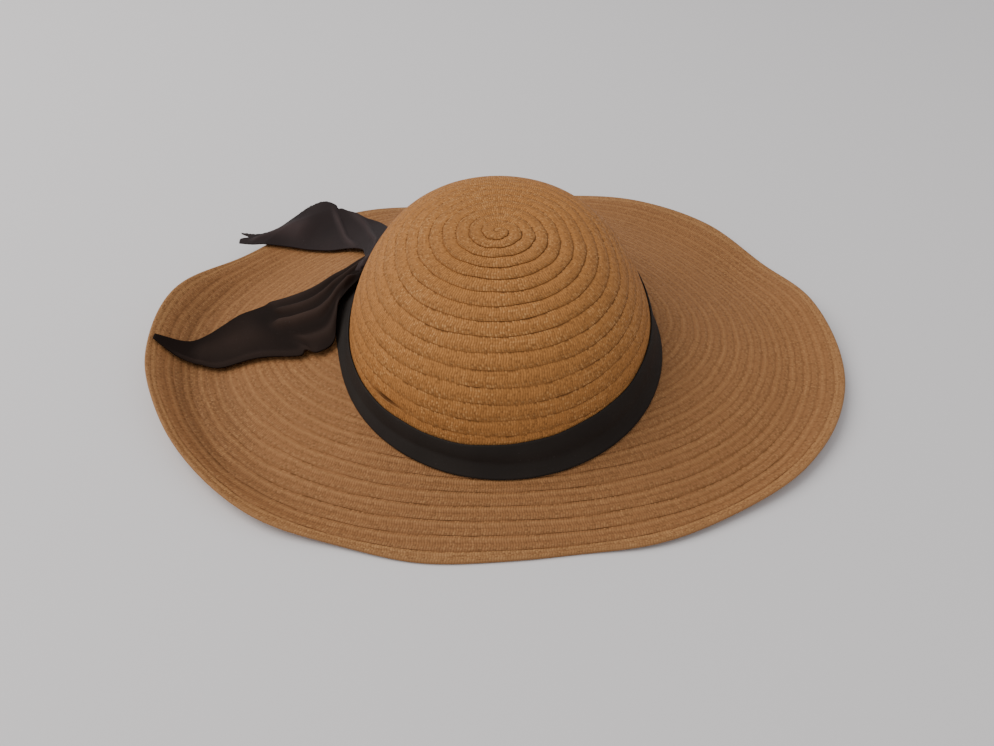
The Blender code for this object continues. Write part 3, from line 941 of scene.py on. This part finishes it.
def front_cut(share, across):
    """The front end's outline: its near edge is moved in by a bump, the nick."""
    nick = FRONT_NICK * bump_at(share, FRONT_NICK_PLACE, FRONT_NICK_WIDTH)
    return share, across + nick * (1 - across) ** 5


def back_cut(share, across):
    """The back end's outline: a nick at its highest point, a frayed far edge and a split tip."""
    split = BACK_SPLIT * bump_at(across, BACK_SPLIT_PLACE, BACK_SPLIT_WIDTH) * share**16
    nick = BACK_NICK * bump_at(share, BACK_NICK_PLACE, BACK_NICK_WIDTH) * across**8
    threads = np.abs(np.sin(190 * share) + 0.6 * np.sin(431 * share + 1)) / 1.6
    fray = BACK_FRAY * threads * np.clip((share - BACK_FRAY_START) / 0.1, 0, 1) * across**12
    return share * (1 - split), across * (1 - nick - fray)


# %% Make the two ends
def make_end(name, sections, length, pleats, cut, ridges):
    """A sheet between two edges, its height the brim's plus the lift between the edges."""
    share = np.linspace(0, 1, TAIL_STEPS_ALONG + 1)[:, None]
    across = np.linspace(0, 1, TAIL_STEPS_ACROSS + 1)[None, :]
    share, across = np.broadcast_arrays(*cut(share, across))
    along = share * (len(sections) - 1)
    near_x, near_y, near_lift, far_x, far_y, far_lift = (
        through(np.arange(len(sections)), column, along.ravel()).reshape(along.shape)
        for column in sections.T
    )
    middle = knot_middle()
    x = middle[0] + length * (near_x + (far_x - near_x) * across)
    y = middle[1] + length * (near_y + (far_y - near_y) * across)
    lift = KNOT_SIZE[2] * (near_lift + (far_lift - near_lift) * across)
    ripple = PLEAT * (1 - share) ** 2 * (1 - np.cos(math.tau * pleats * across)) / 2
    folds = fold_height(ridges, share, across)
    height = brim_underside(x, y) + STRAW + TAIL_CLEARANCE + lift + ripple + RIBBON + folds
    mark = np.clip(folds / RIDGE_TALLEST, 0, 1)
    return cloth_grid(name, np.stack([x, y, height], -1), closed=False, mark=mark)


tail_front = make_end(
    "ribbon_end_front", FRONT_TAIL_SECTIONS, FRONT_TAIL, 3, front_cut, FRONT_RIDGES
)
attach(tail_front, "root")
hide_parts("tail_front")

tail_back = make_end("ribbon_end_back", BACK_TAIL_SECTIONS, BACK_TAIL, 1, back_cut, BACK_RIDGES)
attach(tail_back, "root")
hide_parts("tail_back")

# %% [markdown]
# How large each sheet of cloth was before it was folded or laid is printed as its area, the sum
# over its triangles of half the cross product of two sides.


# %% Print the area of each cloth piece
def cloth_area(piece):
    """The area of one face of a cloth piece, from the cross products of its triangles."""
    points = np.empty(len(piece.data.vertices) * 3)
    piece.data.vertices.foreach_get("co", points)
    corners = np.empty(len(piece.data.loops), int)
    piece.data.loops.foreach_get("vertex_index", corners)
    a, b, c = np.moveaxis(points.reshape(-1, 3)[corners.reshape(-1, 3)], 1, 0)
    return np.linalg.norm(np.cross(b - a, c - a), axis=1).sum() / 2


for piece in (band, tail_front, tail_back):
    print(piece.name, round(cloth_area(piece) * 1e4, 1), "square cm")

# %% [markdown]
# ## Short words for shader nodes
# A colour that follows the straw needs many Math nodes. The helpers below add them under short
# names, so that the recipe can be read as sums.

# %% Node helpers
def add_node(tree, kind, inputs=None, **settings):
    """A new node with its settings, each input given a value or another node's output."""
    made = tree.nodes.new(kind)
    for key, value in settings.items():
        setattr(made, key, value)
    for key, value in (inputs or {}).items():
        if isinstance(value, bpy.types.NodeSocket):
            tree.links.new(value, made.inputs[key])
        else:
            made.inputs[key].default_value = value
    return made


class Sums:
    """Short names for the nodes of one tree; each gives back the new node's output."""

    def __init__(self, tree):
        self.tree = tree

    def calc(self, operation, *values):
        """One Math node."""
        inputs = dict(enumerate(values))
        return add_node(self.tree, "ShaderNodeMath", inputs, operation=operation).outputs[0]

    def times(self, first, *others):
        """The product of all values."""
        for other in others:
            first = self.calc("MULTIPLY", first, other)
        return first

    def less(self, value, amount):
        """The value less an amount."""
        return self.calc("SUBTRACT", value, amount)

    def rest(self, value):
        """One less the value."""
        return self.less(1.0, value)

    def plus(self, base, value, share):
        """The base, plus a share of the value."""
        return self.calc("MULTIPLY_ADD", value, share, base)

    def apart(self, value, middle):
        """How far the value is from the middle."""
        return self.calc("ABSOLUTE", self.less(value, middle))

    def arch(self, value):
        """The arch 4 p (1 - p) over each whole step, where p is what is past the step."""
        past = self.calc("FRACT", value)
        return self.times(past, self.rest(past), 4.0)

    def ease(self, value, low, high, way="SMOOTHSTEP"):
        """0 up to low, 1 from high on, and smooth between."""
        inputs = {"Value": value, "From Min": low, "From Max": high}
        made = add_node(self.tree, "ShaderNodeMapRange", inputs, interpolation_type=way)
        return made.outputs["Result"]

    def noise(self, place, scale, detail):
        """A smooth noise around 0.5."""
        inputs = {"Vector": place, "Scale": scale, "Detail": detail}
        return add_node(self.tree, "ShaderNodeTexNoise", inputs).outputs[0]

    def vector(self, *values):
        """A vector from its three parts."""
        inputs = dict(enumerate(values))
        return add_node(self.tree, "ShaderNodeCombineXYZ", inputs).outputs[0]

    def parts(self, vector):
        """The three parts of a vector."""
        return add_node(self.tree, "ShaderNodeSeparateXYZ", {0: vector}).outputs

    def mix(self, share, first, second, blend="MIX"):
        """A colour between two colours."""
        inputs = {0: share, 6: first, 7: second}
        made = add_node(self.tree, "ShaderNodeMix", inputs, data_type="RGBA", blend_type=blend)
        return made.outputs[2]

    def surface(self, uv_map):
        """The place in the object, the place in the UV map, and the mark."""
        place = add_node(self.tree, "ShaderNodeTexCoord").outputs["Object"]
        uv = add_node(self.tree, "ShaderNodeUVMap", uv_map=uv_map).outputs[0]
        mark = add_node(self.tree, "ShaderNodeAttribute", attribute_name="mark").outputs["Fac"]
        return place, self.parts(uv), mark


def new_group(name, values):
    """A node group with named inputs for values, which puts out Colour, Height and Roughness."""
    group = bpy.data.node_groups.new(name, "ShaderNodeTree")
    for key, value in values.items():
        kind = "Color" if isinstance(value, tuple) else "Float"
        made = group.interface.new_socket(key, in_out="INPUT", socket_type="NodeSocket" + kind)
        made.default_value = value
    for key, kind in (("Colour", "Color"), ("Height", "Float"), ("Roughness", "Float")):
        group.interface.new_socket(key, in_out="OUTPUT", socket_type="NodeSocket" + kind)
    given = group.nodes.new("NodeGroupInput").outputs
    return Sums(group), given, group.nodes.new("NodeGroupOutput").inputs


def finish(name, group, values, bump, strength, gloss):
    """A Principled shader fed by a group, with a Bump node for its height, and its own gloss."""
    material = bpy.data.materials.new(name)
    material.use_nodes = True
    tree = material.node_tree
    shader = tree.nodes["Principled BSDF"]
    weave = add_node(tree, "ShaderNodeGroup", node_tree=group)
    for key, value in values.items():
        weave.inputs[key].default_value = value
    relief = add_node(tree, "ShaderNodeBump", {
        "Height": weave.outputs["Height"], "Distance": bump, "Strength": strength,
    })
    tree.links.new(weave.outputs["Colour"], shader.inputs["Base Color"])
    tree.links.new(weave.outputs["Roughness"], shader.inputs["Roughness"])
    tree.links.new(relief.outputs[0], shader.inputs["Normal"])
    for key, value in gloss.items():
        shader.inputs[key].default_value = value
    return material


# %% [markdown]
# ## The look of plaited straw
# Seen close, the braid is a row of narrow strands that zigzag from edge to edge, so it shows fine
# ribs across, pale flecks where a strand catches the light, and a dark line where it dips under
# the row above. All that follows the braid, so it is worked out from the braid's own UV map: metres
# along it, and share across it. Crown and brim share one node group with their own values.
#
# First come the strands. Where a strand crosses a lane of the plait it makes a knob, and each knob
# gets its own chance, a random number from its place in the weave, which decides its shade.

# %% Strands and knobs
STRAND = 0.0013
STITCH = 0.0034
BRAID_LANES = 6.0
FIBRE_ALONG, FIBRE_ACROSS = 900.0, 5.0


def braid_weave(do, along, rows, across, stray):
    """The arch of each strand, its knobs, each knob's chance, and fibres drawn along the strand."""
    zigzag = do.calc("PINGPONG", do.times(across, 3.0), 1.0)
    strands = do.calc("ADD", do.calc("DIVIDE", along, STRAND), do.times(zigzag, 0.42))
    strands = do.plus(strands, stray, 0.3)
    lanes = do.times(across, BRAID_LANES)
    cell = do.vector(*(do.calc("FLOOR", part) for part in (strands, lanes, rows)))
    chance = add_node(do.tree, "ShaderNodeTexWhiteNoise", {0: cell}, noise_dimensions="3D")
    drawn = do.vector(do.times(along, FIBRE_ALONG), do.times(rows, FIBRE_ACROSS))
    strand = do.arch(strands)
    knob = do.times(strand, do.arch(lanes))
    return strand, knob, chance.outputs[0], do.noise(drawn, 1.0, 2.0)


# %% [markdown]
# Then come the marks of sewing: the dark seam with its jagged edge, a line down the middle of the
# braid, short pale stitches, and gathers near the tip where the braid turns sharply. A soft light
# alone shows rows and hollows too faintly, so part of the shade is painted: each row is darker
# towards one edge, seams are drawn dark, partly a real dark stitched edge and partly painted
# shade, the gathers get dark ticks of painted shadow, the lower rows of the crown are painted
# darker, the inside of the open seam is painted dark, and the hollow of the brim is darker. The
# mark says where the brim is hollow and where the crown's seam gapes.

# %% The straw braid group
def braid_seams(do, given, along, across, chance, stray, patches):
    """The seam, the fold line and the stitches, as shares between 0 and 1."""
    # The seam is drawn dark: partly the real dark stitched edge, partly painted shade under the
    # lapped row above.
    jagged = do.calc("ADD", across, do.times(do.less(chance, 0.3), 0.07))
    seam = do.times(
        do.rest(do.ease(jagged, 0.04, 0.14)),
        do.plus(0.5, do.ease(stray, 0.3, 0.6), 0.5),
        do.plus(0.4, do.ease(patches, 0.35, 0.6), 0.6),
    )
    line = do.times(
        do.rest(do.ease(do.apart(across, 0.52), 0.0, 0.10)),
        do.plus(0.5, do.ease(patches, 0.42, 0.6), 0.5),
        given["Middle"],
    )
    phase = do.calc("FRACT", do.calc("DIVIDE", along, STITCH))
    stitch = do.times(
        do.calc("LESS_THAN", do.apart(phase, 0.5), 0.22),
        do.calc("LESS_THAN", do.apart(across, 0.86), 0.05),
    )
    return seam, line, stitch


def make_braid_group():
    """Colour, height and roughness of sewn braid, from metres along and share across it."""
    do, given, result = new_group("straw_braid", {
        "Straw": (0.37, 0.17, 0.055, 1), "Shadow": (0.12, 0.045, 0.012, 1),
        "Fleck": (0.60, 0.33, 0.13, 1), "Seam": 1.0, "Flecks": 1.0, "Middle": 0.5,
        "HollowShade": 0.0, "Opening": 0.0, "Hem": 0.0, "Grain": 0.45, "Edge": 0.0, "RoundRowShade": 0.15,
        "PressedAndShaded": 0.0, "GatherShadow": 0.0, "Fade": 0.0,
    })
    place, (along, rows, _), mark = do.surface("rows")
    row = do.calc("FLOOR", rows)
    across = do.ease(do.calc("FRACT", rows), UV_MARGIN, 1 - UV_MARGIN, "LINEAR")
    patches, drift = do.noise(place, 38.0, 3.0), do.noise(place, 9.0, 2.0)
    stray = do.noise(place, 260.0, 1.0)
    strand, knob, chance, fibre = braid_weave(do, along, rows, across, stray)
    seam, line, stitch = braid_seams(do, given, along, across, chance, stray, patches)
    grain = do.times(do.less(chance, 0.5), knob)
    # The crown's lower rows are flatter, so their seams and row shade are weaker, and they are
    # painted darker: painted shade towards the foot.
    pressed = do.plus(1.0, do.ease(row, 4.0, 14.0), given["PressedAndShaded"])

    shade = do.plus(1.0, do.less(drift, 0.5), 0.35)
    shade = do.plus(shade, do.less(fibre, 0.5), 0.45)
    shade = do.plus(shade, do.less(strand, 0.66), 0.13)
    shade = do.plus(shade, grain, given["Grain"])
    shade = do.plus(shade, do.less(pressed, 1.0), 0.20)
    # Each row is painted lighter near one edge and darker towards the other: painted shade for its
    # rounded back.
    round_row_shade = do.less(0.4, do.ease(across, 0.35, 1.0))
    shade = do.plus(shade, do.times(round_row_shade, pressed), given["RoundRowShade"])
    # Where the mark says the brim is hollow, the colour is painted darker: painted shade in the
    # hollow.
    shade = do.plus(shade, do.times(mark, given["HollowShade"]), -1.0)
    base = do.mix(1.0, given["Straw"], shade, "MULTIPLY")

    pale = do.times(
        do.ease(chance, 0.60, 0.98), do.ease(patches, 0.36, 0.60), knob, given["Flecks"]
    )
    dark = do.times(do.ease(do.rest(chance), 0.70, 0.98), knob)
    # Near the tip, dark ticks between the strands are painted shadow in the folds where the braid
    # turns sharply.
    gather_shadow = do.times(
        do.ease(row, 1.0, 2.5), do.rest(do.ease(row, 5.0, 8.0)), do.ease(patches, 0.48, 0.62),
        do.ease(do.rest(strand), 0.55, 0.95), given["GatherShadow"],
    )
    edge = do.times(do.rest(do.ease(do.apart(across, 0.28), 0.0, 0.14)), given["Edge"])
    hem = do.times(do.calc("LESS_THAN", row, 0.5), given["Hem"], do.plus(0.5, grain, 1.2))
    opening = do.times(mark, given["Opening"])
    lip = do.times(opening, do.rest(do.ease(across, 0.05, 0.20)))
    fade = do.times(do.ease(do.parts(place)[1], -0.13, -0.06), given["Fade"])
    seam = do.times(seam, pressed, given["Seam"], do.rest(opening), do.rest(fade))
    # Inside the open seam the colour is painted dark, a painted shadow in the gap.
    open_seam_shadow = do.times(opening, do.ease(across, 0.84, 0.92))
    seam = do.calc("MAXIMUM", do.times(seam, 0.8), open_seam_shadow)
    for share, colour in (
        (do.times(pale, 0.75), "Fleck"), (do.times(dark, 0.35), "Shadow"),
        (do.times(line, 0.45), "Shadow"), (do.times(stitch, 0.18), "Fleck"),
        (gather_shadow, "Shadow"), (edge, "Fleck"), (hem, "Fleck"), (do.times(lip, 0.7), "Fleck"),
        (seam, "Shadow"),
    ):
        base = do.mix(share, base, given[colour])

    height = do.plus(do.times(strand, 0.55), fibre, 0.35)
    height = do.less(do.plus(height, chance, 0.25), do.times(line, 0.35))
    do.tree.links.new(base, result["Colour"])
    do.tree.links.new(do.plus(height, stitch, 0.25), result["Height"])
    do.tree.links.new(do.plus(do.plus(0.72, chance, -0.10), seam, 0.2), result["Roughness"])
    return do.tree


BRAID_GROUP = make_braid_group()
STRAW_GLOSS = {"Specular IOR Level": 0.2}

crown.data.materials.append(finish("sewn_straw_crown", BRAID_GROUP, {
    "Straw": (0.395, 0.164, 0.043, 1), "Seam": 1.1, "Middle": 0.25, "Opening": 1.0, "Flecks": 0.7,
    "RoundRowShade": 0.22, "PressedAndShaded": -0.75, "GatherShadow": 0.7,
}, 0.0004, 1.0, STRAW_GLOSS))
brim.data.materials.append(finish("sewn_straw_brim", BRAID_GROUP, {
    "Straw": (0.309, 0.137, 0.049, 1), "Shadow": (0.12, 0.048, 0.014, 1), "Flecks": 0.3,
    "Seam": 0.95, "Middle": 0.8, "HollowShade": 0.20, "Hem": 0.30, "Grain": 0.24, "Edge": 0.14,
    "RoundRowShade": 0.08, "Fade": 0.6,
}, 0.0003, 1.0, STRAW_GLOSS))
print("braid group has", len(BRAID_GROUP.nodes), "nodes")

# %% [markdown]
# ## The look of the ribbon
# The ribbon is a thin dark brown cloth with little gloss. Its weave is far finer than the straw, so
# it shows only close up, as fine ribs across the ribbon. In the photograph the band, the front end
# and the back end differ a little in colour and gloss, so one weave is used with three colours.
# High folds are also painted a little lighter, a painted highlight, and that is all the mark does
# here.

# %% The ribbon group and materials
WEFT = 0.0005


def make_ribbon_group():
    """Colour, height and roughness of a fine ribbed ribbon, from its UV map in metres."""
    do, given, result = new_group("ribbon_weave", {
        "Cloth": (0.0125, 0.0085, 0.0070, 1), "Dust": (0.07, 0.06, 0.055, 1),
    })
    place, (along, _, _), mark = do.surface("cloth")
    weft = do.arch(do.calc("DIVIDE", along, WEFT))
    worn, lint = do.noise(place, 45.0, 4.0), do.noise(place, 900.0, 1.0)
    dust = do.times(do.ease(lint, 0.66, 0.80), do.ease(worn, 0.45, 0.7))
    # High folds, by their mark, are painted lighter: a painted highlight.
    shade = do.times(do.plus(1.0, do.less(worn, 0.5), 0.6), do.plus(0.54, mark, 1.1))
    base = do.mix(1.0, given["Cloth"], shade, "MULTIPLY")
    do.tree.links.new(do.mix(do.times(dust, 0.5), base, given["Dust"]), result["Colour"])
    do.tree.links.new(do.plus(do.times(weft, 0.4), worn, 0.6), result["Height"])
    do.tree.links.new(do.plus(0.60, worn, 0.15), result["Roughness"])
    return do.tree


RIBBON_GROUP = make_ribbon_group()


def ribbon_material(name, cloth, gloss):
    """The ribbon's weave with its own colour and gloss, and a very faint blue sheen."""
    return finish(name, RIBBON_GROUP, {"Cloth": cloth}, 0.0001, 0.6, {
        "Specular IOR Level": gloss, "Sheen Weight": 0.06 * gloss, "Sheen Roughness": 0.5,
        "Sheen Tint": (0.75, 0.80, 1.0, 1),
    })


# The three cloth colours are lit and shaded copies of one ribbon colour, each set to how bright its
# piece looks: the knot and back end face more of the sky, so their cloth is painted lighter.
band.data.materials.append(ribbon_material("ribbon_cloth", (0.0225, 0.0178, 0.0150, 1), 0.13))
tail_front.data.materials.append(
    ribbon_material("ribbon_cloth_front", (0.0240, 0.0142, 0.0108, 1), 0.05)
)
painted_light_cloth = ribbon_material("ribbon_cloth_painted_lighter", (0.043, 0.0280, 0.0270, 1), 0.13)
for piece in (knot, tail_back):
    piece.data.materials.append(painted_light_cloth)
print("ribbon group has", len(RIBBON_GROUP.nodes), "nodes")

# %% [markdown]
# ## Floor and light
# The photograph has very soft shadows, as under a grey sky. A pale world gives light from
# everywhere, and one wide lamp, from the upper left, adds a little direction. The floor is plain
# and pale, and isn't part of the hat.

# %% Floor and light
FLOOR_HALF = 12.0
FLOOR_COLOUR = (0.79, 0.765, 0.77, 1)
FLOOR_ROUGHNESS = 0.8
SKY_COLOUR = (0.97, 0.98, 1.0, 1)
WORLD_STRENGTH = 0.59
LAMP_PLACE = (-1.35, 0.13, 1.72)
LAMP_WIDTH = 2.0
LAMP_POWER = 36
LAMP_COLOUR = (1.0, 0.98, 0.95)

floor_mesh = bpy.data.meshes.new("floor")
floor_mesh.from_pydata(
    [(x * FLOOR_HALF, y * FLOOR_HALF, 0) for x, y in ((-1, -1), (1, -1), (1, 1), (-1, 1))],
    [], [(0, 1, 2, 3)],
)
floor = bpy.data.objects.new("floor", floor_mesh)
bpy.context.scene.collection.objects.link(floor)
floor_paint = bpy.data.materials.new("pale_floor")
floor_paint.use_nodes = True
floor_shader = floor_paint.node_tree.nodes["Principled BSDF"]
floor_shader.inputs["Base Color"].default_value = FLOOR_COLOUR
floor_shader.inputs["Roughness"].default_value = FLOOR_ROUGHNESS
floor_mesh.materials.append(floor_paint)

world = bpy.data.worlds.new("sky")
bpy.context.scene.world = world
world.use_nodes = True
sky = world.node_tree.nodes["Background"]
sky.inputs["Color"].default_value = SKY_COLOUR
sky.inputs["Strength"].default_value = WORLD_STRENGTH

lamp_data = bpy.data.lights.new("soft_lamp", "AREA")
lamp_data.shape = "DISK"
lamp_data.size = LAMP_WIDTH
lamp_data.energy = LAMP_POWER
lamp_data.color = LAMP_COLOUR
lamp = bpy.data.objects.new("soft_lamp", lamp_data)
lamp.location = LAMP_PLACE
lamp.rotation_euler = Vector(LAMP_PLACE).to_track_quat("Z", "Y").to_euler()
bpy.context.scene.collection.objects.link(lamp)
print("world", WORLD_STRENGTH, "lamp", LAMP_POWER, "W")

# %% Finish
bpy.context.view_layer.update()
